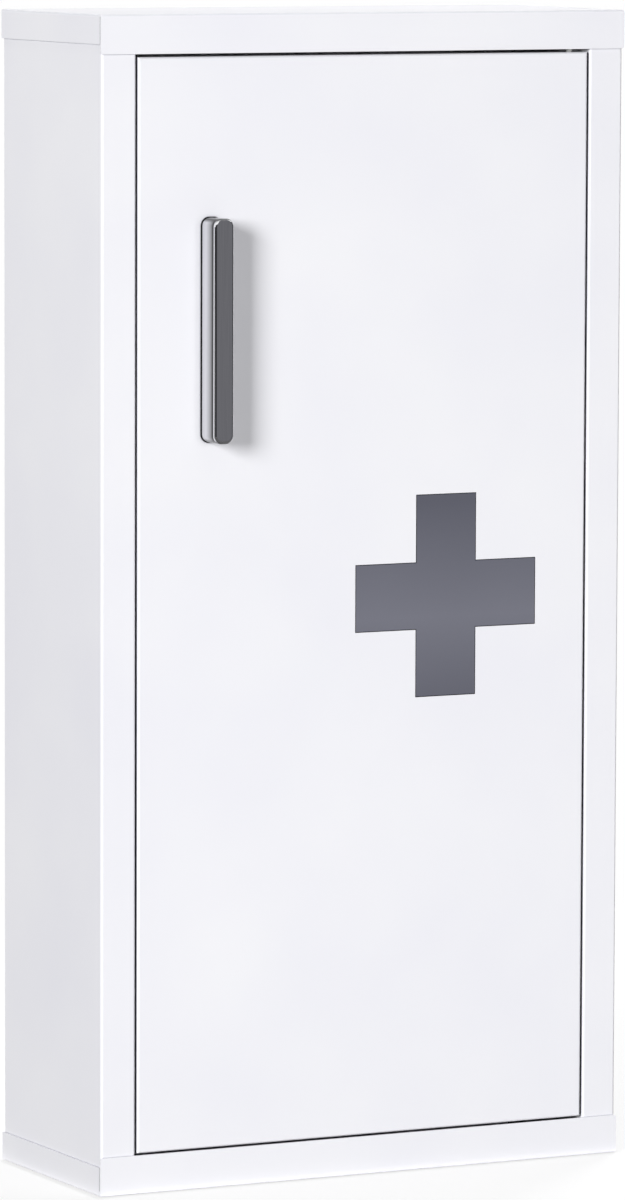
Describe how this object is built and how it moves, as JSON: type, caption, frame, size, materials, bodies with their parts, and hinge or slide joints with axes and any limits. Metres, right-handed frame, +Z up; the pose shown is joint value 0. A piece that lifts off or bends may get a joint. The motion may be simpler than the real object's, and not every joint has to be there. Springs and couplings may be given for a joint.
{
  "type": "medicine cabinet",
  "caption": "Wall-hung medicine cabinet of folded white steel sheet with a flush pivot-hung door, a grey cross window, a bright bar handle and shelves inside.",
  "frame": {"origin": "centre of the back panel's rear face, which lies on the wall, at the centre of the four screw holes", "axes": "+X to the right seen from the front, +Y towards the wall, +Z up"},
  "size_m": [0.3, 0.1352, 0.6],
  "materials": {
    "white_powder_coat": "smooth satin powder coat on steel sheet",
    "bright_chrome": "polished chrome plate",
    "black_rubber": "matt moulded rubber",
    "grey_acrylic": "tinted acrylic, smooth",
    "zinc_plate": "bright zinc plate",
    "nylon": "natural moulded nylon",
    "black_acetal": "moulded black acetal, low gloss",
    "black_paint": "satin black paint on steel",
    "catch_plastic": "moulded, fine matt grain",
    "ferrite": "sintered, matt",
    "foam_tape": "double-sided foam tape"
  },
  "bodies": {
    "cabinet": {"top_cap": "white_powder_coat", "bottom_cap": "white_powder_coat", "left_side_panel": "white_powder_coat", "right_side_panel": "white_powder_coat", "back_panel": "white_powder_coat", "lower_shelf": "white_powder_coat", "upper_shelf": "white_powder_coat", "lower_left_shelf_rail": "white_powder_coat", "lower_right_shelf_rail": "white_powder_coat", "upper_left_shelf_rail": "white_powder_coat", "upper_right_shelf_rail": "white_powder_coat", "upper_hinge_bracket": "black_paint", "lower_hinge_bracket": "black_paint", "upper_pivot_bush": "nylon", "lower_pivot_bush": "nylon", "hinge_thrust_washer": "black_acetal", "shelf_screws": "zinc_plate", "shelf_nuts": "zinc_plate", "cap_studs": "zinc_plate", "cap_nuts": "zinc_plate", "catch_housing": "catch_plastic", "catch_magnet": "ferrite", "catch_pole_plates": "zinc_plate", "catch_screws": "zinc_plate"},
    "door": {"door_panel": "white_powder_coat", "cross_pane": "grey_acrylic", "pane_tape": "foam_tape", "upper_pivot_plate": "white_powder_coat", "lower_pivot_plate": "white_powder_coat", "upper_pivot_pin": "zinc_plate", "lower_pivot_pin": "zinc_plate", "handle": "bright_chrome", "handle_gasket": "black_rubber", "handle_screws": "zinc_plate", "handle_washers": "zinc_plate"}
  },
  "joints": [
    {"name": "door_swing", "type": "hinge", "parent": "cabinet", "child": "door", "pos_m": [0.12, -0.1147, 0], "axis": [0, 0, 1], "range_deg": [0, 120]}
  ]
}
